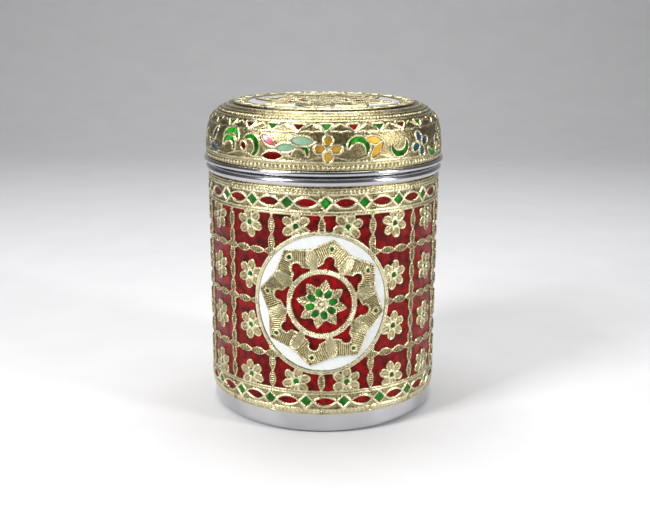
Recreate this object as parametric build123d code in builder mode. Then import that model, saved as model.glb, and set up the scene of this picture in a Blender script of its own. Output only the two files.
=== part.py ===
from build123d import *
from math import acos, cos, degrees, pi, radians, sin, sqrt
import os

os.makedirs("parts", exist_ok=True)

# Round lidded canister of drawn steel, dressed in embossed gilt foil with enamel figures.
# All sizes are in millimetres. Z is up, the origin is under the middle of the base, and the
# front medallion faces -Y. Azimuths are counted in degrees from the front towards +X.

# Steel canister
canister_radius = 49.2
steel = 0.6
base_recess = 1.6
base_corner = 3.4
foot_width = 2.8
bead_reach = 1.7
bead_height = 3.9
neck_height = 12.2
lip_radius = 0.9

# Gilt foil sleeve, and how far each layer of enamel and relief stands up
foil = 0.8
field_recess = 0.35
enamel = 0.15
relief = 0.25
sleeve_low = 8.5
sleeve_high = 104.1

# Steel lid with its curled rim, which slips over the canister's neck
neck_clearance = 0.35
seat_gap = 0.3
curl_height = 2.2
curl_reach = 2.2

# Foil collar round the lid, and the disc on its top
collar_foil = 0.5
collar_height = 8.7
shoulder_radius = 13.5
disc_overhang = 1.85
disc_gap = 0.1
disc_thickness = 0.6

# Chained field of the sleeve
column_count = 15
row_pitch = 20.6
row_count = 4
first_row = 6.0
lower_field_inset = 10.5
upper_field_inset = 11.3
chain_width = 3.2
flower_radius = 4.9
flower_petals = 6

# Medallions, front and rear
medallion_rise = 0.6
medallion_half_width = 27.1
medallion_half_height = 29.7
medallion_rim = 1.2
lotus_petals = 8
lotus_turn = -10.0
lotus_gap = 0.7
lotus_depth = 4.0
cusp_low = 15.2
cusp_half_base = 4.2
cusp_half_end = 1.9
cusp_high = 19.9
hub_radius = 12.7
leaf_tip = 10.2
leaf_notch = 6.4
bud_distance = 4.6
bud_length = 3.4
bud_width = 2.4

# Borders of lozenges and pointed ovals
border_count = 20
upper_border_inset = 6.3
lower_border_inset = 6.0
border_turn = 1.2
lozenge_width = 5.4
lozenge_height = 5.6
oval_width = 8.6
oval_height = 3.8

# Row of drops and band of scrolls on the lid
drop_count = 14
drop_rise = 7.2
drop_width = 3.6
drop_length = 3.4
scroll_repeats = 2
scroll_band_height = 10.0
petal_length = 3.0
petal_width = 2.2
leaf_length = 8.0
leaf_width = 2.8
scroll_span = 9.0
scroll_rise = 4.2
scroll_thickness = 1.9

# Figures of the top disc
rim_cell_count = 26
rim_cell_inset = 3.0
rim_cell_width = 3.4
rim_cell_height = 2.6
top_ground_inset = 6.5
top_star_gap = 2.5
top_star_notch = 22.0
top_hub_radius = 11.0
top_leaf_tip = 9.0
top_leaf_notch = 5.0
top_eye_radius = 2.4

# Levels and radii that follow from the sizes above
sleeve_radius = canister_radius + foil
field_radius = sleeve_radius - field_recess
bead_top = sleeve_high + bead_height
lip_level = bead_top + neck_height
foot_outer = canister_radius - base_corner
foot_inner = foot_outer - foot_width
lid_radius = canister_radius + neck_clearance + steel
lid_low = bead_top + seat_gap
collar_low = lid_low + curl_height
shoulder_low = collar_low + collar_height
collar_radius = lid_radius + collar_foil
shoulder_centre = collar_radius - shoulder_radius
lid_top = shoulder_low + shoulder_radius - collar_foil
disc_radius = shoulder_centre + disc_overhang
disc_top = lid_top + disc_thickness
plane_gap = 1.0

# Places of the figures, from the edges of the foil that carries them
field_low = sleeve_low + lower_field_inset
field_high = sleeve_high - upper_field_inset
lowest_row = field_low + first_row
medallion_height = (field_low + field_high) / 2 + medallion_rise
lotus_tip = medallion_half_width - lotus_gap
lotus_notch = lotus_tip - lotus_depth
lower_border = sleeve_low + lower_border_inset
upper_border = sleeve_high - upper_border_inset
drop_height = shoulder_low + drop_rise
rim_cell_radius = disc_radius - rim_cell_inset
top_ground_radius = disc_radius - top_ground_inset
top_star_tip = top_ground_radius - top_star_gap


def bend(centre, radius, start, end, steps):
    """Points on a round corner of a profile, from one angle to another."""
    angles = [radians(start + (end - start) * step / steps) for step in range(steps + 1)]
    return [(centre[0] + radius * cos(angle), centre[1] + radius * sin(angle)) for angle in angles]


def bead(radius, low, high, reach, steps):
    """Points on a rolled bead between two levels of a wall."""
    shares = [step / steps for step in range(steps + 1)]
    return [(radius + reach * sin(pi * t), low + (high - low) * t) for t in shares]


def turned(points):
    """Solid of revolution about Z from a closed outline of radius and height."""
    with BuildPart() as solid:
        with BuildSketch(Plane.XZ):
            with BuildLine():
                Polyline(*points, close=True)
            make_face()
        revolve(axis=Axis.Z)
    return solid.part


def tube(inner, outer, low, high):
    """Round layer about the Z axis."""
    with BuildPart() as layer:
        with BuildSketch(Plane.XY.offset(low)):
            Circle(outer)
            Circle(inner, mode=Mode.SUBTRACT)
        extrude(amount=high - low)
    return layer.part


def shoulder(depth, end_radius, steps=3):
    """Points up the lid's rounded shoulder at a depth under the foil's outer face."""
    radius = shoulder_radius - depth
    end = degrees(acos((end_radius - shoulder_centre) / shoulder_radius))
    return bend((shoulder_centre, shoulder_low), radius, 0, end, steps)


def crown(outer_depth, inner_depth):
    """Layer of the lid's collar between two depths under the foil's outer face."""
    outside = [(collar_radius - outer_depth, collar_low), *shoulder(outer_depth, disc_radius + disc_gap)]
    inside = [(collar_radius - inner_depth, collar_low), *shoulder(inner_depth, disc_radius + disc_gap)]
    return turned(outside + inside[::-1])


def wall_plane(azimuth, height, radius):
    """Upright plane that faces out from the axis, just outside a radius."""
    turn = radians(azimuth)
    out = Vector(sin(turn), -cos(turn), 0)
    origin = out * (radius + plane_gap) + Vector(0, 0, height)
    return Plane(origin, x_dir=(cos(turn), sin(turn), 0), z_dir=out)


def shoulder_plane(azimuth, height):
    """Plane square to the lid's rounded shoulder at a height, just outside the foil."""
    rise = (height - shoulder_low) / shoulder_radius
    run = sqrt(1 - rise * rise)
    turn = radians(azimuth)
    radius = shoulder_centre + (shoulder_radius + plane_gap) * run
    normal = Vector(sin(turn) * run, -cos(turn) * run, rise)
    origin = Vector(sin(turn) * radius, -cos(turn) * radius, height + plane_gap * rise)
    return Plane(origin, x_dir=(cos(turn), sin(turn), 0), z_dir=normal)


def laid(outline, plane, layer, depth=3 * plane_gap):
    """Piece of a layer under an outline: the outline is pushed in through the layer."""
    with BuildPart() as piece:
        with BuildSketch(plane):
            add(outline)
        extrude(amount=-depth)
        add(layer, mode=Mode.INTERSECT)
    return piece.part


def around(count, piece):
    """Copies of a piece, evenly spaced about the Z axis."""
    with BuildPart() as ring:
        with PolarLocations(0, count):
            add(piece)
    return ring.part


def gathered(pieces):
    """Several pieces taken as one part."""
    with BuildPart() as group:
        add(pieces)
    return group.part


def without(part, cutters):
    """A part with other shapes cut out of it."""
    with BuildPart() as rest:
        add(part)
        add(cutters, mode=Mode.SUBTRACT)
    return rest.part


def rolled(across, up):
    """Point of the flat foil pattern after the foil is rolled round the canister."""
    return (sleeve_radius * sin(across / sleeve_radius), up)


def star(points, tip, notch, turn):
    """Star outline with a point at `turn` degrees from straight up, rolled with the foil."""
    corners = []
    for step in range(2 * points):
        reach = tip if step % 2 == 0 else notch
        angle = radians(90 + turn + step * 180 / points)
        corners.append(rolled(reach * cos(angle), reach * sin(angle)))
    with BuildSketch() as outline:
        Polygon(*corners, align=None)
    return outline.sketch


def lozenge(width, height):
    """Upright lozenge."""
    with BuildSketch() as outline:
        Polygon((-width / 2, 0), (0, -height / 2), (width / 2, 0), (0, height / 2), align=None)
    return outline.sketch


def pointed_oval(length, width):
    """Leaf outline lying along X, with a point at each end."""
    side = [(-length / 2, 0), (-length / 5, -width / 2), (length / 5, -width / 2)]
    with BuildSketch() as outline:
        Polygon(*side, *[(-x, -y) for x, y in side], align=None)
    return outline.sketch


def crescent(span, rise, thickness, steps=3):
    """Leafy scroll between two bowed edges that meet at its ends."""
    shares = [step / steps for step in range(steps + 1)]
    upper = [(span * (t - 0.5), rise * sin(pi * t)) for t in shares]
    lower = [(x, y * (rise - thickness) / rise) for x, y in upper[1:-1]]
    with BuildSketch() as outline:
        Polygon(*upper, *lower[::-1], align=None)
    return outline.sketch


def blossom(length, width):
    """Four petals about an open eye."""
    with BuildSketch() as outline:
        with PolarLocations(0.75 * length, 4, start_angle=90):
            add(lozenge(length, width))
    return outline.sketch


def triangle(width, height):
    """Triangle hanging from its flat top."""
    with BuildSketch() as outline:
        Polygon((-width / 2, height / 2), (0, -height / 2), (width / 2, height / 2), align=None)
    return outline.sketch


def cusps():
    """Ring of flared enamel cusps, one inside each lotus petal."""
    with BuildSketch() as outline:
        with PolarLocations(0, lotus_petals, start_angle=lotus_turn):
            Polygon(
                (-cusp_half_base, cusp_low),
                (cusp_half_base, cusp_low),
                (cusp_half_end, cusp_high),
                (-cusp_half_end, cusp_high),
                align=None,
            )
    return outline.sketch


# Canister: one drawn shell with a foot ring, a seat bead, a neck and a rolled lip
inside_radius = canister_radius - steel
canister_outside = [
    (0, base_recess),
    (foot_inner - base_recess, base_recess),
    (foot_inner, 0),
    *bend((foot_outer, base_corner), base_corner, -90, 0, 3),
    *bead(canister_radius, sleeve_high, bead_top, bead_reach, 4),
    *bend((canister_radius - lip_radius, lip_level), lip_radius, 0, 180, 3),
]
canister_inside = [
    (inside_radius, lip_level - lip_radius),
    *bead(inside_radius, sleeve_high, bead_top, bead_reach, 2)[::-1],
    *bend((foot_outer, base_corner), base_corner - steel, 0, -90, 2),
    (foot_inner + steel / 2, steel),
    (foot_inner - base_recess + steel / 2, base_recess + steel),
    (0, base_recess + steel),
]
canister_shell = turned(canister_outside + canister_inside)

# Sleeve: gilt foil with a sunk field between its upper and lower borders
body_sleeve = turned(
    [
        (canister_radius, sleeve_low),
        (sleeve_radius, sleeve_low),
        (sleeve_radius, field_low),
        (field_radius, field_low),
        (field_radius, field_high),
        (sleeve_radius, field_high),
        (sleeve_radius, sleeve_high),
        (canister_radius, sleeve_high),
    ]
)

# Medallions: the figure is built up in layers over the sunk field, in front and behind
with BuildSketch() as medallion_outline:
    Ellipse(medallion_half_width, medallion_half_height)
with BuildSketch() as ground_outline:
    Ellipse(medallion_half_width - medallion_rim, medallion_half_height - medallion_rim)
with BuildSketch() as rim_outline:
    add(medallion_outline.sketch)
    add(ground_outline.sketch, mode=Mode.SUBTRACT)
with BuildSketch() as lotus_outline:
    add(star(lotus_petals, lotus_tip, lotus_notch, lotus_turn))
    add(cusps(), mode=Mode.SUBTRACT)
    Circle(hub_radius, mode=Mode.SUBTRACT)
with BuildSketch() as hub_outline:
    Circle(hub_radius)
with BuildSketch() as buds_outline:
    with PolarLocations(bud_distance, lotus_petals, start_angle=90 + lotus_turn + 180 / lotus_petals):
        add(lozenge(bud_length, bud_width))

ground_radius = field_radius + enamel
medallion_plane = wall_plane(0, medallion_height, sleeve_radius)
medallion_depth = 0.6 * sleeve_radius
medallion_layers = {
    "medallion_rims": (rim_outline.sketch, field_radius, ground_radius + relief),
    "medallion_grounds": (ground_outline.sketch, field_radius, ground_radius),
    "medallion_lotuses": (lotus_outline.sketch, ground_radius, ground_radius + relief),
    "medallion_cusps": (cusps(), ground_radius, ground_radius + enamel),
    "medallion_hubs": (hub_outline.sketch, ground_radius, ground_radius + enamel),
    "medallion_leaves": (
        star(lotus_petals, leaf_tip, leaf_notch, lotus_turn),
        ground_radius + enamel,
        ground_radius + relief,
    ),
    "medallion_buds": (buds_outline.sketch, ground_radius + relief, ground_radius + relief + enamel),
}
pieces = {}
for name, (outline, inner, outer) in medallion_layers.items():
    layer = tube(inner, outer, field_low, field_high)
    pieces[name] = around(2, laid(outline, medallion_plane, layer, medallion_depth))

# Field: a coat of enamel, and on it a net of chains with a flower in each mesh
medallion_space = tube(field_radius - foil, sleeve_radius + foil, field_low, field_high)
medallion_discs = around(2, laid(medallion_outline.sketch, medallion_plane, medallion_space, medallion_depth))
pieces["field_enamel"] = without(tube(field_radius, ground_radius, field_low, field_high), medallion_discs)

relief_layer = tube(ground_radius, ground_radius + relief, field_low, field_high)
with BuildSketch() as chain_outline:
    with Locations((0, (field_low + field_high) / 2)):
        Rectangle(chain_width, field_high - field_low)
upright_chain = laid(chain_outline.sketch, wall_plane(0, 0, sleeve_radius), relief_layer)
chains = [around(column_count, upright_chain)]
for row in range(1, row_count):
    level = lowest_row + (row - 0.5) * row_pitch
    chains.append(tube(ground_radius, ground_radius + relief, level - chain_width / 2, level + chain_width / 2))
pieces["field_chains"] = without(gathered(chains), medallion_discs)

with BuildSketch() as flower_outline:
    for row in range(row_count):
        with Locations((0, lowest_row + row * row_pitch)):
            RegularPolygon(flower_radius, flower_petals)
flower_plane = wall_plane(180 / column_count, 0, sleeve_radius)
flowers = around(column_count, laid(flower_outline.sketch, flower_plane, relief_layer))
pieces["field_flowers"] = without(flowers, medallion_discs)

# Borders: lozenges and pointed ovals by turns, the lower row half a step round
border_layer = tube(sleeve_radius, sleeve_radius + enamel, sleeve_low, sleeve_high)
half_pitch = 180 / border_count
lozenge_outline = lozenge(lozenge_width, lozenge_height)
oval_outline = pointed_oval(oval_width, oval_height)
border_places = {
    "upper_lozenges": (lozenge_outline, upper_border, border_turn),
    "upper_ovals": (oval_outline, upper_border, border_turn + half_pitch),
    "lower_lozenges": (lozenge_outline, lower_border, border_turn + half_pitch),
    "lower_ovals": (oval_outline, lower_border, border_turn),
}
for name, (outline, height, azimuth) in border_places.items():
    cell = laid(outline, wall_plane(azimuth, height, sleeve_radius), border_layer)
    pieces[name] = around(border_count, cell)

# Lid: drawn shell with a curled rim that sits over the neck
curl_radius = curl_height / 2
curl_centre = (lid_radius + curl_reach - curl_radius, lid_low + curl_radius)
inner_shoulder = shoulder(collar_foil + steel, disc_radius + disc_gap)
outer_shoulder = shoulder(collar_foil, disc_radius + disc_gap)
lid_shell = turned(
    [
        (0, lid_top - steel),
        (shoulder_centre, lid_top - steel),
        *inner_shoulder[::-1],
        (lid_radius - steel, lid_low),
        *bend(curl_centre, curl_radius, -90, 90, 4),
        (lid_radius, collar_low),
        *outer_shoulder,
        (shoulder_centre, lid_top),
        (0, lid_top),
    ]
)

# Collar: foil over the lid's side and shoulder
lid_collar = crown(0, collar_foil)
figure_layer = crown(-enamel, 0)
drop_outline = triangle(drop_width, drop_length)
for name, azimuth in (
    ("lid_drops_green", border_turn),
    ("lid_drops_red", border_turn + 180 / drop_count),
):
    drop = laid(drop_outline, shoulder_plane(azimuth, drop_height), figure_layer)
    pieces[name] = around(drop_count, drop)

# Band of scrolls: each motif's outline, then the azimuth, the share of the band's height
# and the turn of each place in one repeat
scroll_outline = crescent(scroll_span, scroll_rise, scroll_thickness)
leaf_outline = pointed_oval(leaf_length, leaf_width)
blossom_outline = blossom(petal_length, petal_width)
motifs = {
    "lid_scrolls_green": (
        scroll_outline,
        ((13, 0.65, 10), (37, 0.85, 200), (-11, 0.55, -30), (-34, 0.85, 200), (-47, 0.65, 20), (63, 0.55, 0)),
    ),
    "lid_blossoms_yellow": (blossom_outline, ((2, 0.81, 0),)),
    "lid_blossoms_blue": (blossom_outline, ((52, 0.79, 0), (74, 0.81, 0))),
    "lid_leaves_red": (leaf_outline, ((-22.5, 0.51, 8), (-22.5, 0.95, -20))),
    "lid_leaves_orange": (leaf_outline, ((24.5, 0.91, -35),)),
    "lid_leaves_blue": (leaf_outline, ((-60, 0.53, -10), (-62, 0.99, 30))),
}
for name, (outline, places) in motifs.items():
    repeat = []
    for azimuth, share, turn in places:
        height = collar_low + share * scroll_band_height
        leaf_plane = wall_plane(azimuth, height, collar_radius).rotated((0, 0, turn))
        repeat.append(laid(outline, leaf_plane, figure_layer))
    pieces[name] = around(scroll_repeats, gathered(repeat))

# Top disc with its figures
with BuildPart() as lid_top_disc:
    with BuildSketch(Plane.XY.offset(lid_top)):
        Circle(disc_radius)
    extrude(amount=disc_thickness)
with BuildSketch() as rim_cells:
    with PolarLocations(rim_cell_radius, rim_cell_count):
        add(triangle(rim_cell_width, rim_cell_height).rotate(Axis.Z, 90))
with BuildSketch() as top_ground:
    Circle(top_ground_radius)
    add(star(lotus_petals, top_star_tip, top_star_notch, lotus_turn), mode=Mode.SUBTRACT)
with BuildSketch() as top_hub:
    Circle(top_hub_radius)
    add(star(lotus_petals, top_leaf_tip, top_leaf_notch, lotus_turn), mode=Mode.SUBTRACT)
with BuildSketch() as top_eye:
    Circle(top_eye_radius)
top_figures = {
    "lid_top_border_red": rim_cells.sketch,
    "lid_top_border_green": rim_cells.sketch.rotate(Axis.Z, 180 / rim_cell_count),
    "lid_top_ground": top_ground.sketch,
    "lid_top_hub": top_hub.sketch,
    "lid_top_eye": top_eye.sketch,
}
for name, outline in top_figures.items():
    with BuildPart() as figure:
        with BuildSketch(Plane.XY.offset(disc_top)):
            add(outline)
        extrude(amount=enamel)
    pieces[name] = figure.part

pieces["canister_shell"] = canister_shell
pieces["body_sleeve"] = body_sleeve
pieces["lid_shell"] = lid_shell
pieces["lid_collar"] = lid_collar
pieces["lid_top_disc"] = lid_top_disc.part
for name, piece in pieces.items():
    piece.label = name
    export_step(piece, f"parts/{name}.step")
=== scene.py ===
import math

import bpy
import numpy as np
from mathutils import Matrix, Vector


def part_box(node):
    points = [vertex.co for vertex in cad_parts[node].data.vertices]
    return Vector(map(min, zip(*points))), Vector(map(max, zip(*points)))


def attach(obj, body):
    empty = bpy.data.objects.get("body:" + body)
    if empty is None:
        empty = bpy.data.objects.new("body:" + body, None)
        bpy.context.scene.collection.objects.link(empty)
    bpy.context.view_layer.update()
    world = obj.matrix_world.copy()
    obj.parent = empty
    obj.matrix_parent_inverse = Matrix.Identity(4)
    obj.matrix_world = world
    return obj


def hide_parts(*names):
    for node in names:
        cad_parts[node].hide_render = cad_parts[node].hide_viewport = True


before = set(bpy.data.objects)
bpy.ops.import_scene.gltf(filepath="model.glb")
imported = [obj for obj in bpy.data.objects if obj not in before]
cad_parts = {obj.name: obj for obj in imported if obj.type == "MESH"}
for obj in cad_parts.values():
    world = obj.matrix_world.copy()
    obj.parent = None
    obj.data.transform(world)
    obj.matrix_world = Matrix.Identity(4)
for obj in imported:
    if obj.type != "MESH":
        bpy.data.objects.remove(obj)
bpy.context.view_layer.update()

MM = 0.001

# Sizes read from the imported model, in millimetres
sleeve_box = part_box("body_sleeve")
collar_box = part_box("lid_collar")
disc_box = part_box("lid_top_disc")
shell_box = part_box("canister_shell")
lid_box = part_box("lid_shell")
SLEEVE_R = sleeve_box[1][0] / MM
SLEEVE_LOW = sleeve_box[0][2] / MM
SLEEVE_HIGH = sleeve_box[1][2] / MM
COLLAR_R = collar_box[1][0] / MM
COLLAR_LOW = collar_box[0][2] / MM
DISC_TOP = disc_box[1][2] / MM
DISC_R = disc_box[1][0] / MM
SHELL_R = shell_box[1][0] / MM
SHELL_TOP = shell_box[1][2] / MM
LID_LOW = lid_box[0][2] / MM
LID_REACH = lid_box[1][0] / MM
SLEEVE_AROUND = 2 * math.pi * SLEEVE_R
COLLAR_AROUND = 2 * math.pi * COLLAR_R
SHOULDER_R = 13.5
SHOULDER_LOW = 119.2

# Field of the sleeve, in millimetres on the unrolled foil, with turns in degrees
COLUMNS = 15
ROWS = 4
FIELD_LOW = 19.0
FIELD_HIGH = 92.8
LOWEST_ROW = 23.1
ROW_PITCH = 21.7
PATTERN_TURN = -0.6
BEADS_PER_CELL = 3
BEAD_OVERLAP = 1.06
BEAD_WIDTH = 2.9
STEM_HALF = 0.4
FIELD_WAVER = 0.1
CHAIN_WAVER = 0.35
FLOWER_WAVER = (0.2, 0.15)
BORDER_WAVER = 0.12
FIELD_STROKE_PITCH = 0.9
FLOWER_PETALS = 6
FLOWER_TILT = 14
FLOWER_EYE = 1.25
VEIN_INSET = 0.4

# Borders of the sleeve: level of each, level of the bead row beyond it, and shift in steps
BORDERS = ((97.8, 102.2, 0.5), (14.5, 10.2, 0.0))
BORDER_STEPS = 20
BORDER_TURN = 1.2
BORDER_HALF = 3.4
INNER_LINE = 3.5
OUTER_LINE = 4.6
BEAD_LINE = 1.15
BORDER_BEAD_PITCH = 1.75
LACE_LEVEL = 93.3
LACE_BEAD_PITCH = 1.4

# Medallions, in millimetres from their centre
MEDALLION_Z = 56.5
MEDALLION_WIDE = 28.5
MEDALLION_TALL = 29.7
LOTUS_PETALS = 8
LOTUS_STEP = 2 * math.pi / LOTUS_PETALS
HALF_PETAL = 180 / LOTUS_PETALS
LOTUS_TURN = 10.0
LOTUS_TIP = 26.8
LOTUS_SLOPE = (0.541, 0.841)
LOTUS_STROKE_PITCH = 0.85

# Collar of the lid: heights are lengths up its profile from the lower edge
LOW_BEAD_PITCH = 1.9
LOW_BEAD_HEIGHT = 1.4
LOW_LINE = 3.6
TENDRIL_HEIGHT = 5.2
EYES = ((2.0, 8.6), (182.0, 8.6))
EYE_R = 0.8
MOTIF_REACH = (12, 8)
DROPS = 28
DROP_RING = 46.5
DROP_HEIGHT = 17.6
DROP_STEP = 2 * math.pi * DROP_RING / DROPS
SCALLOP_HEIGHT = 14.9
ZIGZAG_HEIGHT = 15.4
ZIGZAG_RISE = 3.2
PEARL_HEIGHT = 21.6
PEARL_PITCH = 1.6

# Lines round the shoulder: place, half width and height of each
UPPER_LINES = ((20.0, 0.32, 0.36), (23.4, 0.32, 0.34), (25.6, 0.6, 0.5))

# Motifs of the lid: colour, form, then azimuth, height, turn and size of each
LID_MOTIFS = (
    ("yellow", "blossom", ((2.0, 8.6, 0, 1.1),)),
    ("green", "scroll", (
        (15.5, 8.4, -35, 1.15), (36.5, 9.4, 175, 1.1), (-11.0, 6.6, -20, 1.0), (-35.5, 8.6, -75, 1.1),
        (-47.5, 10.2, -5, 1.2), (-49.0, 7.6, -30, 1.0), (61.5, 7.6, 190, 1.1), (-72.0, 8.0, -20, 1.0),
    )),
    ("pale", "leaf", ((-9.5, 11.6, -4, 1.25), (-17.0, 8.8, 6, 1.1))),
    ("yellow", "leaf", ((23.5, 11.6, -15, 1.05), (24.5, 7.8, 50, 1.05))),
    ("blue", "blossom", ((50.5, 8.6, 20, 1.1), (70.5, 9.4, 0, 1.1))),
    ("red", "leaf", ((-23.5, 5.4, 4, 1.15),)),
    ("pink", "leaf", ((-25.5, 11.4, -35, 1.0),)),
    ("red", "bud", ((-39.0, 8.4, 30, 1.0),)),
    ("blue", "leaf", ((-62.0, 6.0, -15, 1.05), (-62.0, 11.4, 60, 1.0))),
)

# Top disc, in millimetres from its centre
DISC_CELLS = 52
CELL_RING = 36.0
CELL_HALF = 1.5
CELL_SHIFT = 1.4
CELL_SIZE = (6.4, 7.0)
DISC_OUTER_LINE = 38.3
DISC_INNER_LINE = 33.6
DISC_GROUND = 32.6
STAR_TIP = 30.2
STAR_DEPTH = 8.4
STAR_BULGE = 0.85

# Foil and enamel: levels are measured from the foil's face, in millimetres
FLOOR_DEPTH = 0.4
FILL_LEVEL = -0.16
FILL_CROWN = 0.05
FILL_CROWN_RUN = 1.6
FILL_OVERLAP = 0.28
CELL_WALL = 0.4
DOME_RUN = 0.9
STROKE_INSET = 0.3
SLEEVE_SINK = 0.35
COLLAR_SINK = 0.2
DISC_SHARE = 0.8
SLEEVE_EDGE = -0.7
COLLAR_EDGE = -0.45
DISC_EDGE = -0.55
FAR = 9.0

# Steel in section, in millimetres, from the axis outwards
AXIS = 0.01
STEEL_THICK = 0.6
SLEEVE_SEAT = 0.8
COLLAR_SEAT = 0.5
LIP_R = 0.9
CURL_DRAW_IN = 0.6
BEAD_SPREAD = 0.4
BEAD_GAP = 0.3
BEAD_STEPS = 12
BEAD_FULLNESS = 0.8
FOOT_R = 3.4
FOOT_CENTRE = (45.8, 3.4)
FOOT_TOP = 8.0
UNDERSIDE = ((AXIS, 1.6), (41.2, 1.6), (42.6, 0.4), (43.4, 0.0), (45.8, 0.0))
INNER_FLOOR = ((43.3, 0.6), (41.5, 2.2), (AXIS, 2.2))
LATHE_SIDES = 192

# Meshes: spacing of the grids in millimetres, and how they are cut into pieces
GRID = 0.33
PIECE_FACES = 150000
SLEEVE_SECTORS = 4
SEAM_AZIMUTH = 48

# Camera: lens and sensor in millimetres, place in metres, dip in degrees and roll in radians
CAMERA_LENS = 54.92
CAMERA_SENSOR = 36.0
CAMERA_PLACE = (0.0003, -0.4298, 0.1748)
CAMERA_DIP = 14.895
CAMERA_ROLL = -0.0045

# Studio, in metres: name, place, size and power of each soft box, and the floor's measures
LIT_POINT = (0.0, 0.0, 0.07)
SOFT_BOXES = (
    ("key", (-0.55, -0.45, 0.55), (0.22, 0.5), 6.0),
    ("fill", (0.65, -0.35, 0.35), (0.14, 0.5), 3.0),
    ("top", (0.0, 0.15, 0.8), (0.6, 0.4), 4.6),
)
STUDIO_COLOUR = (0.80, 0.80, 0.82, 1)
STUDIO_STRENGTH = 0.16
FLOOR_FRONT = -8.0
FLOOR_BACK = 0.7
FLOOR_HALF_WIDTH = 6.0
BACKDROP_BEND = 0.5
BACKDROP_TOP = 2.0


def smooth(low, high, value):
    """Smooth step from 0 to 1."""
    t = np.clip((value - low) / (high - low), 0, 1)
    return t * t * (3 - 2 * t)


def ridge(distance, half_width, height):
    """Rounded wire along a line."""
    return height * np.sqrt(np.clip(1 - (distance / half_width) ** 2, 0, 1))


def turned(x, y, degrees):
    """Coordinates seen from axes turned by an angle, which may change from point to point."""
    c, s = np.cos(np.radians(degrees)), np.sin(np.radians(degrees))
    return x * c + y * s, -x * s + y * c


def wrap(value, pitch):
    """Offset from the nearest of evenly spaced places."""
    return (value + pitch / 2) % pitch - pitch / 2


def lozenge(x, y, width, height):
    """Diamond. Like the forms below, it is a distance from an edge and negative inside."""
    a, b = width / 2, height / 2
    return (np.abs(x) / a + np.abs(y) / b - 1) * a * b / math.hypot(a, b)


def leaf(x, y, length, width):
    """Pointed oval of two arcs, along x."""
    radius = (length**2 + width**2) / (4 * width)
    back = radius - width / 2
    return np.hypot(x, np.abs(y) + back) - radius


def oval(x, y, half_x, half_y):
    return (np.hypot(x / half_x, y / half_y) - 1) * min(half_x, half_y)


def petals(x, y, count, distance, half_long, half_wide, turn=0.0):
    """Ring of oval petals about a centre, the first straight up."""
    angle = np.arctan2(x, y) - math.radians(turn)
    radius = np.hypot(x, y)
    fold = wrap(angle, 2 * math.pi / count)
    along = radius * np.cos(fold) - distance
    across = radius * np.sin(fold)
    return oval(across, along, half_wide, half_long)


def scroll(x, y, radius, start, end, width):
    """Hooked scroll: a bowed stroke that swells in its middle and ends in points."""
    angle = np.degrees(np.arctan2(y, x))
    t = ((angle - start) % 360) / (end - start)
    half = width / 2 * np.sqrt(np.clip(np.sin(np.pi * np.clip(t, 0, 1)), 0, 1))
    return np.where(t <= 1, np.abs(np.hypot(x, y) - radius) - half, FAR)


def folded(x, y, turn=LOTUS_TURN):
    """Place within the nearest of eight petals: offset, reach and share of the half petal."""
    fold = wrap(np.arctan2(x, y) - math.radians(turn), LOTUS_STEP)
    radius = np.hypot(x, y)
    return radius * np.sin(fold), radius * np.cos(fold), np.abs(np.degrees(fold)) / HALF_PETAL


def petal_strokes(side, along):
    """Run of the strokes that fan out from the middle of each lotus petal."""
    return np.abs(side) * LOTUS_SLOPE[1] - along * LOTUS_SLOPE[0]


class Relief:
    """Height of the foil over its pattern, with the enamel cells struck into it."""

    def __init__(self, shape):
        self.height = np.zeros(shape)
        self.phase = np.zeros(shape)
        self.amount = np.zeros(shape)
        self.cells = {}

    def stroke(self, where, run, pitch):
        """Chase fine strokes into an area, spaced along a run."""
        self.phase = np.where(where, run * (2 * math.pi / pitch), self.phase)
        self.amount = np.where(where, 1.0, self.amount)

    def lift(self, form):
        """Raise the foil to a form, and leave it alone where the form is flat."""
        self.height = np.where(form > 0, np.maximum(self.height, form), self.height)

    def wire(self, distance, half_width=0.35, height=0.32):
        self.lift(ridge(distance, half_width, height))

    def cell(self, colour, distance, rim=0.42, rim_height=0.34):
        """Sink a cell, raise a wire just outside it, and cut other colours back from it."""
        floor = -FLOOR_DEPTH * smooth(0.0, CELL_WALL, -distance)
        outside = np.where(distance >= 0, self.height, 0)
        self.height = np.where(distance < 0, floor, outside)
        self.wire(distance - rim * 0.6, rim, rim_height)
        for other in self.cells:
            if other != colour:
                self.cells[other] = np.maximum(self.cells[other], -distance)
        old = self.cells.get(colour)
        self.cells[colour] = distance if old is None else np.minimum(old, distance)

    def raised(self, distance, dome, rim=0.38, rim_height=0.3):
        """Raise a form with a wire along its edge, and cut the cells back round it."""
        crown = dome * (1 - np.exp(distance / DOME_RUN))
        self.height = np.where(distance < 0, crown, self.height)
        self.lift(ridge(distance + rim * 0.5, rim, rim_height))
        for colour in self.cells:
            self.cells[colour] = np.maximum(self.cells[colour], -distance)


def unsteady(u, z):
    """Wander of the hand that chased the lines, up to 0.4 mm either way."""
    slow = 0.22 * np.sin(u * 0.9 + 0.6 * np.sin(z * 0.5))
    return slow + 0.18 * np.sin(z * 1.1 + u * 0.35)


def field(relief, u, z, waver):
    """Red field, with the chains and flowers that stand in it."""
    across = u - math.radians(PATTERN_TURN) * SLEEVE_R
    rise = z - LOWEST_ROW
    edge = np.abs(z - (FIELD_LOW + FIELD_HIGH) / 2) - (FIELD_HIGH - FIELD_LOW) / 2
    relief.cell("red", edge + FIELD_WAVER * waver, rim=0.3, rim_height=0.2)
    chains(relief, across, rise, u, z, CHAIN_WAVER * waver, edge)
    flowers(relief, across, rise, waver, edge)


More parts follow.
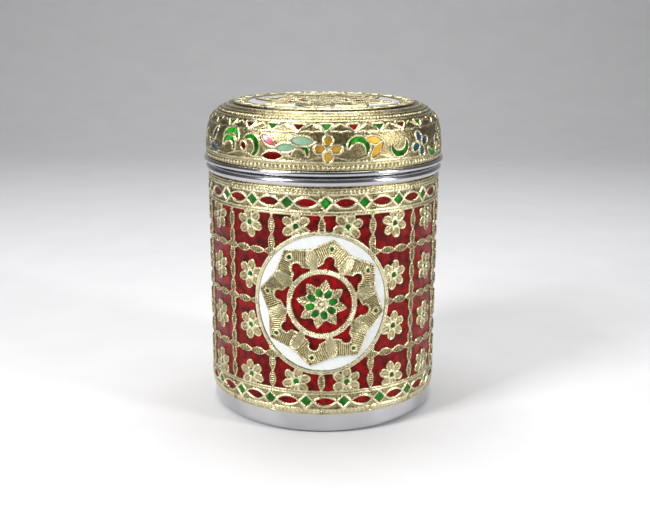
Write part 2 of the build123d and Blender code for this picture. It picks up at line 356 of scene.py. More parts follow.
def chains(relief, across, rise, u, z, wander, edge):
    """Upright and level chains of pointed beads on a stem, kept inside the field."""
    pitch = SLEEVE_AROUND / COLUMNS
    upright_bead = ROW_PITCH / BEADS_PER_CELL
    level_bead = pitch / BEADS_PER_CELL
    off_upright = wrap(across, pitch) + wander
    off_level = wrap(rise - ROW_PITCH / 2, ROW_PITCH) + wander
    half_rows = (ROWS - 1) * ROW_PITCH / 2
    within_rows = np.abs(rise - half_rows) - half_rows
    upright = leaf(wrap(rise, upright_bead), off_upright, upright_bead * BEAD_OVERLAP, BEAD_WIDTH)
    level = leaf(wrap(across, level_bead), off_level, level_bead * BEAD_OVERLAP, BEAD_WIDTH)
    level = np.maximum(level, within_rows)
    level_stem = np.maximum(np.abs(off_level) - STEM_HALF, within_rows)
    links = np.minimum(np.minimum(upright, np.abs(off_upright) - STEM_HALF), np.minimum(level, level_stem))
    relief.raised(np.maximum(links, edge), dome=0.04, rim=0.28, rim_height=0.38)
    relief.stroke(upright < -STROKE_INSET, z, FIELD_STROKE_PITCH)
    relief.stroke(level < -STROKE_INSET, u, FIELD_STROKE_PITCH)


def flowers(relief, across, rise, waver, edge):
    """Flowers of six veined petals with a green eye, each tilted a little its own way."""
    pitch = SLEEVE_AROUND / COLUMNS
    column = np.floor(across / pitch)
    row = np.floor(rise / ROW_PITCH + 0.5)
    tilt = FLOWER_TILT * np.sin(column * 2.1 + row * 1.7)
    off_column = wrap(across - pitch / 2, pitch) + FLOWER_WAVER[0] * waver
    off_row = wrap(rise, ROW_PITCH) + FLOWER_WAVER[1] * waver
    x, y = turned(off_column, off_row, tilt)
    flower = petals(x, y, FLOWER_PETALS, distance=3.9, half_long=2.3, half_wide=1.8)
    flower = np.maximum(flower, edge)
    relief.raised(flower, dome=0.04, rim=0.27, rim_height=0.4)
    relief.stroke(flower < 0, 0.0, FIELD_STROKE_PITCH)
    off_vein = wrap(np.arctan2(x, y), 2 * math.pi / FLOWER_PETALS) * np.hypot(x, y)
    relief.height += ridge(off_vein, half_width=0.22, height=0.12) * (flower < -VEIN_INSET)
    relief.cell("green", np.maximum(np.hypot(x, y) - FLOWER_EYE, edge), rim=0.36, rim_height=0.5)


def border(relief, u, z, waver, level, beads_level, shift):
    """Band of pointed ovals and lozenges between lines, with a row of beads beyond it."""
    step = SLEEVE_AROUND / BORDER_STEPS
    start = math.radians(BORDER_TURN) * SLEEVE_R
    oval_x = wrap(u - start - shift * step, step)
    lozenge_x = wrap(u - start - (0.5 - shift) * step, step)
    rise = z - level - BORDER_WAVER * waver
    band = np.abs(rise) < BORDER_HALF
    relief.height = np.where(band, np.minimum(relief.height, 0.0), relief.height)
    relief.wire(np.abs(rise) - INNER_LINE, half_width=0.4, height=0.4)
    relief.wire(np.abs(rise) - OUTER_LINE, half_width=0.3, height=0.3)
    relief.cell("red", leaf(oval_x, rise, length=9.0, width=3.5), rim=0.5, rim_height=0.5)
    relief.cell("green", lozenge(lozenge_x, rise, width=5.2, height=5.2), rim=0.5, rim_height=0.5)
    relief.wire(np.hypot(wrap(u, BORDER_BEAD_PITCH), z - beads_level), half_width=0.7, height=0.35)
    relief.wire(np.abs(z - beads_level) - BEAD_LINE, half_width=0.28, height=0.22)


def sleeve_relief(u, z):
    """Relief of the body's foil; u is the arc from the front, z the height."""
    relief = Relief(u.shape)
    waver = unsteady(u, z)
    field(relief, u, z, waver)
    for level, beads_level, shift in BORDERS:
        border(relief, u, z, waver, level, beads_level, shift)
    relief.wire(np.hypot(wrap(u, LACE_BEAD_PITCH), z - LACE_LEVEL), half_width=0.5, height=0.3)
    turn = math.radians(PATTERN_TURN) * SLEEVE_R
    for side in (0.0, SLEEVE_AROUND / 2):
        medallion(relief, wrap(u - side - turn, SLEEVE_AROUND), z - MEDALLION_Z)
    return relief


def medallion(relief, x, y):
    """Round figure: rim, white ground, lotus band with red cusps and knots, then its hub."""
    clear_margin, ground_inset = 0.5, 1.1
    rim = oval(x, y, MEDALLION_WIDE, MEDALLION_TALL)
    for colour in relief.cells:
        relief.cells[colour] = np.where(rim < clear_margin, FAR, relief.cells[colour])
    relief.height = np.where(rim < 0, 0.0, relief.height)
    relief.wire(rim, half_width=0.42, height=0.5)
    relief.cell("white", rim + ground_inset, rim=0.36, rim_height=0.42)
    side, along, share = folded(x, y)
    lotus = np.abs(side) * LOTUS_SLOPE[0] + (along - LOTUS_TIP) * LOTUS_SLOPE[1]
    relief.raised(lotus, dome=0.06, rim=0.3, rim_height=0.4)
    relief.stroke(lotus < -STROKE_INSET, petal_strokes(side, along), LOTUS_STROKE_PITCH)
    knots(relief, x, y)
    cusps(relief, side, along, np.hypot(x, y))
    hub(relief, x, y, side, share)


def knots(relief, x, y):
    """Fanned knots between the petals of the lotus."""
    reach, half_wide, half_tall, knot_rise = 18.6, 2.3, 4.2, 0.14
    fan_back, fan_spread, stroke_pitch = 6.0, 8.0, 0.8
    knot_x, along, _ = folded(x, y, LOTUS_TURN + HALF_PETAL)
    knot_y = along - reach
    knot = oval(knot_x, knot_y, half_wide, half_tall)
    relief.height += np.where(knot < 0, knot_rise, 0)
    relief.stroke(knot < 0, np.arctan2(knot_x, knot_y + fan_back) * fan_spread, stroke_pitch)
    relief.wire(knot, half_width=0.26, height=0.46)


def cusps(relief, side, along, radius):
    """Red cusps at the petals' roots, each with a round head, and green eyes near the tips."""
    inner, outer, head_r = 13.9, 17.9, 2.15
    root_half, root_taper, taper_from, taper_to = 4.6, 2.6, 14.2, 17.4
    eye_reach, eye_r = 23.2, 0.95
    root = np.abs(side) - (root_half - root_taper * smooth(taper_from, taper_to, along))
    cusp = np.maximum(np.maximum(root, along - outer), inner - radius)
    cusp = np.minimum(cusp, np.hypot(side, along - outer) - head_r)
    relief.cell("red", cusp, rim=0.4, rim_height=0.46)
    relief.cell("green", np.hypot(side, along - eye_reach) - eye_r, rim=0.4, rim_height=0.46)


def hub(relief, x, y, side, share):
    """Double ring round a red hub, with veined gold leaves, green buds and a boss."""
    outer_ring, inner_ring, ground = 14.15, 12.95, 12.5
    leaf_tip, leaf_depth, boss_r = 10.4, 4.2, 2.2
    radius = np.hypot(x, y)
    relief.wire(radius - outer_ring, half_width=0.45, height=0.5)
    relief.wire(radius - inner_ring, half_width=0.38, height=0.42)
    relief.cell("red", radius - ground, rim=0.3, rim_height=0.3)
    leaves = (radius - (leaf_tip - leaf_depth * share)) * 0.8
    relief.raised(leaves, dome=0.08, rim=0.3, rim_height=0.4)
    relief.height += ridge(side, half_width=0.3, height=0.16) * (leaves < -STROKE_INSET)
    turn = LOTUS_TURN + HALF_PETAL
    buds = petals(x, y, LOTUS_PETALS, distance=4.8, half_long=2.0, half_wide=1.5, turn=turn)
    relief.cell("green", buds, rim=0.26, rim_height=0.4)
    relief.raised(radius - boss_r, dome=0.1, rim=0.35, rim_height=0.5)
    relief.wire(radius, half_width=0.9, height=0.6)


def motif_shape(kind, x, y, size):
    """Outline of one of the lid's motifs at a size."""
    if kind == "leaf":
        return leaf(x, y, length=8.0 * size, width=3.0 * size)
    if kind == "blossom":
        return petals(x, y, 4, distance=2.9 * size, half_long=1.9 * size, half_wide=1.45 * size)
    if kind == "bud":
        return oval(x, y, half_x=1.3 * size, half_y=1.7 * size)
    return scroll(x, y, radius=3.4 * size, start=0, end=215, width=2.1 * size)


def collar_relief(u, s):
    """Relief of the lid's collar; s is the length up its profile from the lower edge."""
    relief = Relief(u.shape)
    relief.height = ridge(np.hypot(wrap(u, LOW_BEAD_PITCH), s - LOW_BEAD_HEIGHT), 0.75, 0.38)
    relief.wire(np.abs(s - LOW_BEAD_HEIGHT) - 1.2, half_width=0.26, height=0.26)
    relief.wire(s - LOW_LINE, half_width=0.34, height=0.34)
    lid_motifs(relief, u, s)
    figures = np.minimum.reduce(list(relief.cells.values()))
    tendril = s - TENDRIL_HEIGHT - 0.9 * np.sin(u * 0.33 + 1.0)
    relief.wire(np.where(figures > 0.6, tendril, FAR), half_width=0.26, height=0.26)
    shoulder_band(relief, u, s, figures)
    return relief


def lid_motifs(relief, u, s):
    """Scrolls, leaves, blossoms and buds round the lid's side, twice round, and raised eyes."""
    azimuth = np.degrees(u / COLLAR_R)
    per_degree = math.radians(1) * COLLAR_R
    for colour, kind, places in LID_MOTIFS:
        for place, height, turn, size in places:
            for repeat in (0, 180):
                x = per_degree * wrap(azimuth - place - repeat, 360)
                near = (np.abs(x) < MOTIF_REACH[0]) & (np.abs(s - height) < MOTIF_REACH[1])
                shape = motif_shape(kind, *turned(x, s - height, turn), size)
                relief.cell(colour, np.where(near, shape, FAR), rim=0.34, rim_height=0.4)
    for place, height in EYES:
        x = per_degree * wrap(azimuth - place, 360)
        relief.raised(np.hypot(x, s - height) - EYE_R, dome=0.3, rim=0.3, rim_height=0.5)


def shoulder_band(relief, u, s, figures):
    """Red and green drops in a zigzag round the shoulder, under lines and a row of pearls."""
    across = u * DROP_RING / COLLAR_R - math.radians(BORDER_TURN) * DROP_RING
    rise = s - DROP_HEIGHT
    for colour, offset in (("green", 0.0), ("red", DROP_STEP)):
        drop = lozenge(wrap(across - offset, 2 * DROP_STEP), rise - 0.6, width=4.4, height=5.2)
        relief.cell(colour, np.maximum(drop, rise - 1.0), rim=0.4, rim_height=0.44)
    scallop = s - SCALLOP_HEIGHT - 0.5 * np.abs(np.sin(np.pi * across / (DROP_STEP / 2)))
    relief.wire(scallop, half_width=0.35, height=0.36)
    zigzag = s - ZIGZAG_HEIGHT - ZIGZAG_RISE * np.abs(wrap(across, DROP_STEP)) / (DROP_STEP / 2)
    relief.wire(np.where(figures > 0.5, zigzag * 0.85, FAR), half_width=0.3, height=0.4)
    for place, half_width, height in UPPER_LINES:
        relief.wire(s - place, half_width, height)
    relief.wire(np.hypot(wrap(across, PEARL_PITCH), s - PEARL_HEIGHT), half_width=0.65, height=0.34)


def disc_relief(x, y):
    """Relief of the lid's top disc: ring of cells, white ground, star with cusps, and a hub."""
    relief = Relief(x.shape)
    radius = np.hypot(x, y)
    disc_border(relief, np.arctan2(x, y), radius)
    relief.cell("white", radius - DISC_GROUND, rim=0.3, rim_height=0.3)
    side, along, share = folded(x, y)
    star = (radius - (STAR_TIP - STAR_DEPTH * share**STAR_BULGE)) * 0.9
    relief.raised(star, dome=0.06, rim=0.36, rim_height=0.42)
    relief.stroke(star < -STROKE_INSET, petal_strokes(side, along), LOTUS_STROKE_PITCH)
    disc_cusps(relief, side, along)
    disc_hub(relief, x, y, share)
    return relief


def disc_cusps(relief, side, along):
    """Red cusps at the roots of the star's points, and green eyes near its tips."""
    middle, half_long, eye_reach, eye_r = 16.0, 3.4, 25.2, 1.1
    root_half, root_taper, taper_from, taper_to = 4.8, 2.7, 13, 18
    root = np.abs(side) - (root_half - root_taper * smooth(taper_from, taper_to, along))
    cusp = np.maximum(root, np.abs(along - middle) - half_long)
    relief.cell("red", cusp, rim=0.36, rim_height=0.42)
    relief.cell("green", np.hypot(side, along - eye_reach) - eye_r, rim=0.36, rim_height=0.42)


def disc_border(relief, angle, radius):
    """Ring of red and green half lozenges between two lines."""
    step = 2 * math.pi / DISC_CELLS
    relief.wire(radius - DISC_OUTER_LINE, half_width=0.5, height=0.45)
    for colour, offset, way in (("red", 0.0, 1), ("green", 1.0, -1)):
        fold = wrap(angle - offset * step, 2 * step)
        cell = lozenge(radius * np.sin(fold), (radius - CELL_RING + CELL_SHIFT * way), *CELL_SIZE)
        cell = np.maximum(cell, np.abs(radius - CELL_RING) - CELL_HALF)
        relief.cell(colour, cell, rim=0.32, rim_height=0.4)
    relief.wire(radius - DISC_INNER_LINE, half_width=0.4, height=0.42)


def disc_hub(relief, x, y, share):
    """Red hub in a ring, with gold leaves, green buds and a boss."""
    ring, ground, leaf_tip, leaf_depth = 11.6, 11.0, 9.0, 3.8
    radius = np.hypot(x, y)
    relief.wire(radius - ring, half_width=0.5, height=0.55)
    relief.cell("red", radius - ground, rim=0.3, rim_height=0.3)
    leaves = (radius - (leaf_tip - leaf_depth * share)) * 0.8
    relief.raised(leaves, dome=0.22, rim=0.3, rim_height=0.4)
    turn = LOTUS_TURN + HALF_PETAL
    buds = petals(x, y, LOTUS_PETALS, distance=4.3, half_long=1.6, half_wide=1.2, turn=turn)
    relief.cell("green", buds, rim=0.28, rim_height=0.4)
    relief.wire(radius, half_width=1.4, height=0.5)


def mesh_object(name, points, faces, height=None, phase=None, amount=None):
    """Mesh object from points in millimetres and four-cornered faces, with its relief values."""
    mesh = bpy.data.meshes.new(name)
    mesh.vertices.add(len(points))
    mesh.vertices.foreach_set("co", (points * MM).astype(np.float32).ravel())
    mesh.loops.add(faces.size)
    mesh.loops.foreach_set("vertex_index", faces.astype(np.int32).ravel())
    mesh.polygons.add(len(faces))
    mesh.polygons.foreach_set("loop_start", np.arange(0, faces.size, 4, dtype=np.int32))
    mesh.update(calc_edges=True)
    mesh.polygons.foreach_set("use_smooth", np.ones(len(faces), dtype=bool))
    for key, values in (("relief", height), ("phase", phase), ("strokes", amount)):
        if values is not None:
            layer = mesh.attributes.new(key, "FLOAT", "POINT")
            layer.data.foreach_set("value", values.astype(np.float32))
    mesh.validate()
    piece = bpy.data.objects.new(name, mesh)
    bpy.context.scene.collection.objects.link(piece)
    return piece


def grid_faces(rows, columns, keep):
    """Faces of a grid whose points run along the columns first, where they are kept."""
    index = np.arange(rows * columns).reshape(rows, columns)
    quads = np.stack([index[:-1, :-1], index[:-1, 1:], index[1:, 1:], index[1:, :-1]], axis=-1)
    return quads[keep].reshape(-1, 4)


def packed(points, faces, *layers):
    """Drop the points that no face uses."""
    used = np.unique(faces)
    place = np.zeros(len(points), dtype=np.int64)
    place[used] = np.arange(len(used))
    return [points[used], place[faces], *[layer[used] for layer in layers]]


def finish_piece(piece, body, material, slot, nodes=()):
    piece.data.materials.append(material)
    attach(piece, body)
    if nodes:
        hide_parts(*nodes)


def sectors(keep, count):
    """Share the kept faces of a grid between a number of upright strips."""
    cut = [round(i * keep.shape[1] / count) for i in range(count + 1)]
    for first, last in zip(cut[:-1], cut[1:]):
        share = np.zeros_like(keep)
        share[:, first:last] = keep[:, first:last]
        yield share


def beaten(height):
    """Foil that is nowhere quite flat, by a few hundredths of a millimetre."""
    rows, columns = height.shape
    return height + 0.02 * np.sin(np.arange(rows)[:, None] * 0.37) * np.sin(np.arange(columns)[None] * 0.23)


def gilt_pieces(prefix, relief, place, body, nodes, count):
    """Gilt relief over a whole grid, in a number of sectors."""
    rows, columns = relief.height.shape
    height = beaten(relief.height)
    points = place(height).reshape(-1, 3)
    whole = np.ones((rows - 1, columns - 1), dtype=bool)
    for part, share in enumerate(sectors(whole, count), start=1):
        faces = grid_faces(rows, columns, share)
        layers = packed(points, faces, height.ravel(), relief.phase.ravel(), relief.amount.ravel())
        piece = mesh_object(f"{prefix}_relief_{part}", *layers)
        finish_piece(piece, body, MATERIALS["gilt"], "gilt_foil", nodes)


def enamel_pieces(prefix, relief, place, body, nodes, count):
    """Enamel sheets over the cells of each colour, large ones in a number of sectors."""
    rows, columns = relief.height.shape
    for colour, distance in relief.cells.items():
        filled = distance < FILL_OVERLAP
        keep = filled[:-1, :-1] & filled[:-1, 1:] & filled[1:, 1:] & filled[1:, :-1]
        crown = FILL_CROWN * smooth(0.0, FILL_CROWN_RUN, -distance)
        sheet = place(FILL_LEVEL - crown * (colour != "white")).reshape(-1, 3)
        slot = SHARED_SLOTS.get(colour, f"{colour}_enamel")
        shares = count if 2 * keep.sum() > PIECE_FACES else 1
        for part, share in enumerate(sectors(keep, shares), start=1):
            layers = packed(sheet, grid_faces(rows, columns, share), distance.ravel())
            piece = mesh_object(f"{prefix}_enamel_{colour}_{part}", *layers)
            finish_piece(piece, body, MATERIALS[colour], slot, nodes.get(colour, ()))


def surface_pieces(prefix, relief, place, body, nodes, count=1):
    """Gilt relief and enamel sheets over one grid, and the nodes that each colour replaces."""
    gilt_pieces(prefix, relief, place, body, nodes["gilt"], count)
    enamel_pieces(prefix, relief, place, body, nodes, count)


def fill_inputs(tree, node, values):
    """Give each input of a node its value, or link it to the output that feeds it."""
    for key, value in values.items():
        if isinstance(value, bpy.types.NodeSocket):
            tree.links.new(value, node.inputs[key])
        else:
            node.inputs[key].default_value = value


def add_node(tree, kind, values, **settings):
    """New shader node with its settings and inputs."""
    node = tree.nodes.new(kind)
    for key, value in settings.items():
        setattr(node, key, value)
    fill_inputs(tree, node, values)
    return node


def new_material(name):
    """Material with its node tree and its shader."""
    material = bpy.data.materials.new(name)
    material.use_nodes = True
    tree = material.node_tree
    return material, tree, tree.nodes["Principled BSDF"]


def texture(tree, kind, scale, detail, extra=None, **settings):
    """Value of a texture in object space, its scale in features per metre."""
    place = add_node(tree, "ShaderNodeTexCoord", {}).outputs["Object"]
    values = {"Scale": scale, "Detail": detail, "Vector": place, **(extra or {})}
    node = add_node(tree, f"ShaderNodeTex{kind}", values, **settings)
    return node.outputs["Distance" if kind == "Voronoi" else "Fac"]


def ramp(tree, source, stops):
    """Colour over a value, from (place, colour) stops."""
    node = add_node(tree, "ShaderNodeValToRGB", {"Fac": source})
    elements = node.color_ramp.elements
    while len(elements) < len(stops):
        elements.new(0.5)
    for element, (place, colour) in zip(elements, stops):
        element.position = place
        element.color = (*colour, 1.0)
    return node.outputs["Color"]


def spread(tree, source, low, high, to_low, to_high):
    """Value moved from one range to another."""
    values = {"Value": source, "From Min": low, "From Max": high, "To Min": to_low, "To Max": to_high}
    return add_node(tree, "ShaderNodeMapRange", values).outputs["Result"]


def attribute(tree, name):
    """Value kept on the mesh."""
    return add_node(tree, "ShaderNodeAttribute", {}, attribute_name=name).outputs["Fac"]


def maths(tree, operation, *values):
    """Result of an operation on values and outputs."""
    node = add_node(tree, "ShaderNodeMath", dict(enumerate(values)), operation=operation)
    return node.outputs["Value"]


def bump(tree, height, strength, distance, under=None):
    """Normal bent by a height, over another normal if there is one."""
    values = {"Height": height, "Strength": strength, "Distance": distance}
    if under is not None:
        values["Normal"] = under
    return add_node(tree, "ShaderNodeBump", values).outputs["Normal"]


def gilt_material():
    """Pale gold foil: stippled, a little uneven, darker in its hollows, with chased strokes."""
    material, tree, shader = new_material("gilt_foil")
    wave = maths(tree, "SINE", attribute(tree, "phase"))
    strokes = maths(tree, "MULTIPLY", wave, attribute(tree, "strokes"))
    worn = maths(tree, "MULTIPLY_ADD", strokes, 0.12, attribute(tree, "relief"))
    pitted = maths(tree, "MULTIPLY_ADD", texture(tree, "Voronoi", 1300, 2), -0.16, worn)
    depth = spread(tree, pitted, -0.25, 0.33, 0.0, 1.0)
    hollow = ramp(tree, depth, (
        (0.0, (0.15, 0.11, 0.05)), (0.37, (0.66, 0.58, 0.33)), (0.9, (1.0, 0.96, 0.72)),
    ))
    warm = ramp(tree, texture(tree, "Noise", 260, 5), ((0.3, (0.72, 0.70, 0.60)), (0.7, (1.0, 0.98, 0.94))))
    tinted = add_node(
        tree, "ShaderNodeMix", {"Factor": 1.0, "A": hollow, "B": warm},
        data_type="RGBA", blend_type="MULTIPLY",
    )
    stipple = bump(tree, texture(tree, "Voronoi", 1500, 2), strength=0.4, distance=0.00018)
    dents = bump(tree, texture(tree, "Noise", 420, 6), strength=0.35, distance=0.0005, under=stipple)
    fill_inputs(tree, shader, {
        "Base Color": tinted.outputs["Result"],
        "Metallic": 1.0,
        "Roughness": spread(tree, texture(tree, "Noise", 900, 3), 0.3, 0.7, 0.20, 0.38),
        "Normal": bump(tree, strokes, strength=0.9, distance=0.00016, under=dents),
    })
    return material


def enamel_material(name, deep, bright, metallic, flute=0.0, coat=1.0):
    """Glossy enamel over foil: a bed clouded between a deep and a bright colour, fluted if asked, under a
    smooth clear coat. For red and green these clouds are painted shade and painted highlight.
    """
    material, tree, shader = new_material(name)
    # Random clouds between the deep and the bright colour; for red and green they are painted shade and
    # painted highlight
    cloud = texture(tree, "Noise", 330, 4)
    grain = texture(tree, "Noise", 1100 if flute else 240, 3)
    normal = bump(tree, grain, strength=0.7 if flute else 0.15, distance=0.0003)
    if flute:
        waves = texture(tree, "Wave", flute, 1.5, {"Distortion": 3.0}, bands_direction="X")
        normal = bump(tree, waves, strength=0.5, distance=0.0004, under=normal)
    skin = bump(tree, texture(tree, "Noise", 160, 2), strength=0.12, distance=0.0005)
    fill_inputs(tree, shader, {
        "Base Color": ramp(tree, cloud, ((0.32, deep), (0.68, bright))),
        "Metallic": metallic,
        "Roughness": 0.34,
        "Normal": normal,
        "Coat Weight": coat,
        "Coat Roughness": 0.06,
        "Coat IOR": 1.5,
        "Coat Normal": skin,
    })
    return material


def steel_material():
    """Polished stainless steel with faint turning lines and smears."""
    material, tree, shader = new_material("steel")
    smear = texture(tree, "Noise", 45, 6)
    lines = texture(tree, "Wave", 900, 2, {"Distortion": 1.0}, bands_direction="Z")
    fill_inputs(tree, shader, {
        "Base Color": ramp(tree, smear, ((0.3, (0.50, 0.50, 0.52)), (0.7, (0.64, 0.64, 0.66)))),
        "Metallic": 1.0,
        "Roughness": spread(tree, smear, 0.3, 0.7, 0.10, 0.22),
        "Normal": bump(tree, lines, strength=0.05, distance=0.0001),
    })
    return material


def ground_material():
    """Matt pale ground with a slight cloud in its grey."""
    material, tree, shader = new_material("pale_ground")
    grain = texture(tree, "Noise", 30, 3)
    fill_inputs(tree, shader, {
        "Base Color": ramp(tree, grain, ((0.3, (0.76, 0.76, 0.77)), (0.7, (0.79, 0.79, 0.80)))),
        "Roughness": 0.6,
    })
    return material


MATERIALS = {
    "gilt": gilt_material(),
    # Deep red is the enamel in shade and bright red the enamel in highlight: painted shade and painted
    # highlight
    "red": enamel_material(
        "red_enamel", (0.06, 0.0, 0.0), (0.44, 0.0, 0.002), metallic=0.9, flute=900, coat=0.18
    ),
    "pink": enamel_material("pink_enamel", (0.50, 0.06, 0.10), (0.78, 0.20, 0.26), metallic=0.4),
    # Deep green is the enamel in shade and bright green the enamel in highlight: painted shade and painted
    # highlight
    "green": enamel_material(
        "green_enamel", (0.002, 0.08, 0.004), (0.015, 0.42, 0.01), metallic=0.8, flute=700, coat=0.3
    ),
    "pale": enamel_material("pale_enamel", (0.25, 0.50, 0.30), (0.45, 0.66, 0.48), metallic=0.3),
    "white": enamel_material("white_enamel", (0.80, 0.83, 0.80), (0.88, 0.90, 0.88), metallic=0.0),
    "blue": enamel_material("blue_enamel", (0.003, 0.04, 0.12), (0.008, 0.14, 0.28), metallic=0.4),
    "yellow": enamel_material("yellow_enamel", (0.62, 0.27, 0.01), (0.95, 0.55, 0.06), metallic=0.5),
}
STEEL = steel_material()

# Colours listed with another colour's slot name
SHARED_SLOTS = {"pale": "green_enamel", "pink": "red_enamel"}


def sleeve():
    """Foil round the canister, unrolled on a grid whose seam is turned away from the front."""
    columns = int(SLEEVE_AROUND / GRID)
    rows = int((SLEEVE_HIGH - SLEEVE_LOW) / GRID)
    start = -SLEEVE_AROUND * SEAM_AZIMUTH / 360
    arc, z = np.meshgrid(
        np.linspace(start, start + SLEEVE_AROUND, columns), np.linspace(SLEEVE_LOW, SLEEVE_HIGH, rows)
    )
    relief = sleeve_relief((arc + SLEEVE_AROUND / 2) % SLEEVE_AROUND - SLEEVE_AROUND / 2, z)
    edge = np.minimum(z - SLEEVE_LOW, SLEEVE_HIGH - z)
    tapered = np.minimum(relief.height, edge * 0.9 - 0.2)
    relief.height = np.where(edge < GRID * 0.5, SLEEVE_EDGE, tapered)
    angle = arc / SLEEVE_R

    def place(height):
        radius = SLEEVE_R - SLEEVE_SINK + height
        return np.stack([radius * np.sin(angle), -radius * np.cos(angle), z], axis=-1)

    surface_pieces("sleeve", relief, place, "canister", {
        "gilt": ("body_sleeve", "field_chains", "field_flowers", "medallion_lotuses",
                 "medallion_leaves", "medallion_rims"),
        "red": ("field_enamel", "medallion_cusps", "medallion_hubs", "upper_ovals", "lower_ovals"),
        "green": ("upper_lozenges", "lower_lozenges", "medallion_buds"),
        "white": ("medallion_grounds",),
    }, SLEEVE_SECTORS)


def collar_profile(s, height):
    """Radius and level of the collar at a length up its profile, raised by a height."""
    wall = SHOULDER_LOW - COLLAR_LOW
    turn = np.clip((s - wall) / SHOULDER_R, 0, None)
    level = COLLAR_LOW + np.minimum(s, wall)
    swell = 0.15 * np.sin(np.pi * np.clip(s / wall, 0, 1))
    radius = COLLAR_R - SHOULDER_R + (SHOULDER_R + height) * np.cos(turn) + swell
    return radius, level + (SHOULDER_R + height) * np.sin(turn)


def collar():
    """Foil over the lid's side and shoulder, up to the edge of the top disc."""
    end = math.acos((DISC_R + 0.1 - COLLAR_R + SHOULDER_R) / SHOULDER_R)
    length = SHOULDER_LOW - COLLAR_LOW + SHOULDER_R * end
    columns = int(COLLAR_AROUND / GRID)
    rows = int(length / GRID)
    u, s = np.meshgrid(
        np.linspace(-COLLAR_AROUND / 2, COLLAR_AROUND / 2, columns), np.linspace(0, length, rows)
    )
    relief = collar_relief(u, s)
    edge = np.minimum(s, length - s)
    relief.height = np.where(edge < GRID * 0.5, COLLAR_EDGE, relief.height)
    angle = u / COLLAR_R

    def place(height):
        radius, level = collar_profile(s, height - COLLAR_SINK)
        return np.stack([radius * np.sin(angle), -radius * np.cos(angle), level], axis=-1)

    surface_pieces("collar", relief, place, "lid", {
        "gilt": ("lid_collar",),
        "red": ("lid_drops_red", "lid_leaves_red"),
        "green": ("lid_drops_green", "lid_scrolls_green"),
        "blue": ("lid_blossoms_blue", "lid_leaves_blue"),
        "yellow": ("lid_blossoms_yellow", "lid_leaves_orange"),
    })


def top_disc():
    """Foil disc on the lid's top, on a grid of rings."""
    columns = int(2 * math.pi * DISC_R / GRID)
    rows = int(DISC_R / GRID)
    turn, radius = np.meshgrid(np.linspace(0, 2 * math.pi, columns), np.linspace(DISC_R, 0.02, rows))
    x, y = radius * np.sin(turn), -radius * np.cos(turn)
    relief = disc_relief(x, y)
    relief.height[0] = DISC_EDGE

    def place(height):
        return np.stack([x, y, np.broadcast_to(DISC_TOP + DISC_SHARE * height, x.shape)], axis=-1)

    surface_pieces("top", relief, place, "lid", {
        "gilt": ("lid_top_disc",),
        "red": ("lid_top_border_red", "lid_top_hub"),
        "green": ("lid_top_border_green", "lid_top_eye"),
        "white": ("lid_top_ground",),
    })


def arc_points(centre, radius, start, end, steps=10):
    """Points of an arc in section, from one angle to another."""
    turns = np.radians(np.linspace(start, end, steps + 1))
    return [(centre[0] + radius * math.cos(t), centre[1] + radius * math.sin(t)) for t in turns]


def lathe(name, profile, body, node):
    """Turned steel piece from an outline of radius and level."""
    profile = np.array(profile)
    turn = np.linspace(0, 2 * math.pi, LATHE_SIDES, endpoint=False)
    points = np.stack([
        np.outer(profile[:, 0], np.sin(turn)),
        -np.outer(profile[:, 0], np.cos(turn)),
        np.repeat(profile[:, 1][:, None], LATHE_SIDES, axis=1),
    ], axis=-1).reshape(-1, 3)
    index = np.arange(len(profile) * LATHE_SIDES).reshape(-1, LATHE_SIDES)
    beside = np.roll(index, -1, axis=1)
    faces = np.stack([index[:-1], beside[:-1], beside[1:], index[1:]], axis=-1).reshape(-1, 4)
    finish_piece(mesh_object(name, points, faces), body, STEEL, "steel", (node,))


def canister():
    """Drawn canister: foot, wall, seat bead under the lid, neck and rolled lip."""
    wall = SLEEVE_R - SLEEVE_SEAT
    inner = wall - STEEL_THICK
    lip = SHELL_TOP - LIP_R
    low, high = SLEEVE_HIGH - BEAD_SPREAD, LID_LOW - BEAD_GAP
    reach = SHELL_R - wall
    steps = np.linspace(0, 1, BEAD_STEPS + 1)
    bead = [(wall + reach * math.sin(math.pi * t) ** BEAD_FULLNESS, low + (high - low) * t) for t in steps]
    groove = [(inner + reach * math.sin(math.pi * t), high + (low - high) * t) for t in steps]
    outline = [
        *UNDERSIDE, *arc_points(FOOT_CENTRE, FOOT_R, -90, 0), (wall, FOOT_TOP),
        *bead, (wall, lip), *arc_points((wall - LIP_R, lip), LIP_R, 0, 180),
        (inner, lip - LIP_R), *groove, (inner, FOOT_CENTRE[1]),
        *arc_points(FOOT_CENTRE, FOOT_R - STEEL_THICK, 0, -90, 6), *INNER_FLOOR,
    ]
    lathe("canister_steel", outline, "canister", "canister_shell")


def lid():
    """Drawn lid under its foil, with the curl round its rim."""
    wall = COLLAR_R - COLLAR_SEAT
    inner = wall - STEEL_THICK
    half = (COLLAR_LOW - LID_LOW) / 2
    curl = (LID_REACH - CURL_DRAW_IN - half, LID_LOW + half)
    centre = COLLAR_R - SHOULDER_R
    round_r = SHOULDER_R - COLLAR_SEAT
    top = SHOULDER_LOW + SHOULDER_R - COLLAR_SEAT
    outline = [
        (AXIS, top - STEEL_THICK), (centre, top - STEEL_THICK),
        *arc_points((centre, SHOULDER_LOW), round_r - STEEL_THICK, 90, 0, 12), (inner, LID_LOW + 0.2),
        (wall, LID_LOW), *arc_points(curl, half, -90, 90, 12), (wall, COLLAR_LOW),
        *arc_points((centre, SHOULDER_LOW), round_r, 0, 90, 12), (AXIS, top),
    ]
    lathe("lid_steel", outline, "lid", "lid_shell")


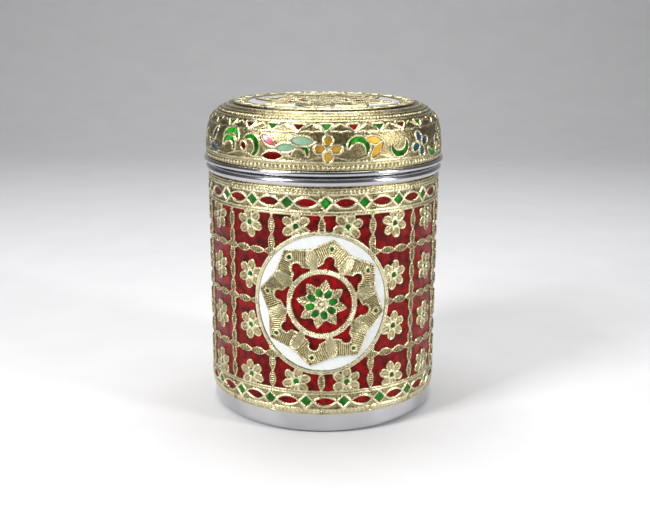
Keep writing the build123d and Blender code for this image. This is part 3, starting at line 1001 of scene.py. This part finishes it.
def stage():
    """Pale floor that curves up behind."""
    bend = [
        (FLOOR_BACK + BACKDROP_BEND * math.sin(t), BACKDROP_BEND - BACKDROP_BEND * math.cos(t))
        for t in np.radians(range(10, 91, 10))
    ]
    run = [
        (FLOOR_FRONT, 0.0), (FLOOR_BACK, 0.0), *bend, (FLOOR_BACK + BACKDROP_BEND, BACKDROP_TOP),
    ]
    points = [(x, y, z) for y, z in run for x in (-FLOOR_HALF_WIDTH, FLOOR_HALF_WIDTH)]
    faces = [(2 * i, 2 * i + 1, 2 * i + 3, 2 * i + 2) for i in range(len(run) - 1)]
    mesh = bpy.data.meshes.new("floor")
    mesh.from_pydata(points, [], faces)
    mesh.polygons.foreach_set("use_smooth", [True] * len(faces))
    floor = bpy.data.objects.new("floor", mesh)
    bpy.context.scene.collection.objects.link(floor)
    mesh.materials.append(ground_material())


def soft_box(name, place, size, power):
    """Oblong lamp turned towards the middle of the object."""
    data = bpy.data.lights.new(name, "AREA")
    data.shape = "RECTANGLE"
    data.size, data.size_y = size
    data.energy = power
    lamp = bpy.data.objects.new(name, data)
    bpy.context.scene.collection.objects.link(lamp)
    lamp.location = place
    way = np.array(LIT_POINT) - np.array(place)
    dip = math.atan2(math.hypot(way[0], way[1]), -way[2])
    lamp.rotation_euler = (dip, 0.0, math.atan2(way[1], way[0]) - math.pi / 2)


def lights():
    """Three soft boxes and a dim, even studio."""
    for soft in SOFT_BOXES:
        soft_box(*soft)
    world = bpy.data.worlds.new("studio")
    bpy.context.scene.world = world
    world.use_nodes = True
    background = world.node_tree.nodes["Background"]
    background.inputs["Color"].default_value = STUDIO_COLOUR
    background.inputs["Strength"].default_value = STUDIO_STRENGTH


def camera():
    """Camera at the photograph's height and distance."""
    data = bpy.data.cameras.new("camera")
    data.lens = CAMERA_LENS
    data.sensor_width = CAMERA_SENSOR
    eye = bpy.data.objects.new("camera", data)
    bpy.context.scene.collection.objects.link(eye)
    eye.location = CAMERA_PLACE
    eye.rotation_euler = (math.radians(90 - CAMERA_DIP), CAMERA_ROLL, 0.0)
    bpy.context.scene.camera = eye


camera()
lights()
stage()
sleeve()
collar()
top_disc()
canister()
lid()
bpy.context.scene.view_settings.view_transform = "Standard"
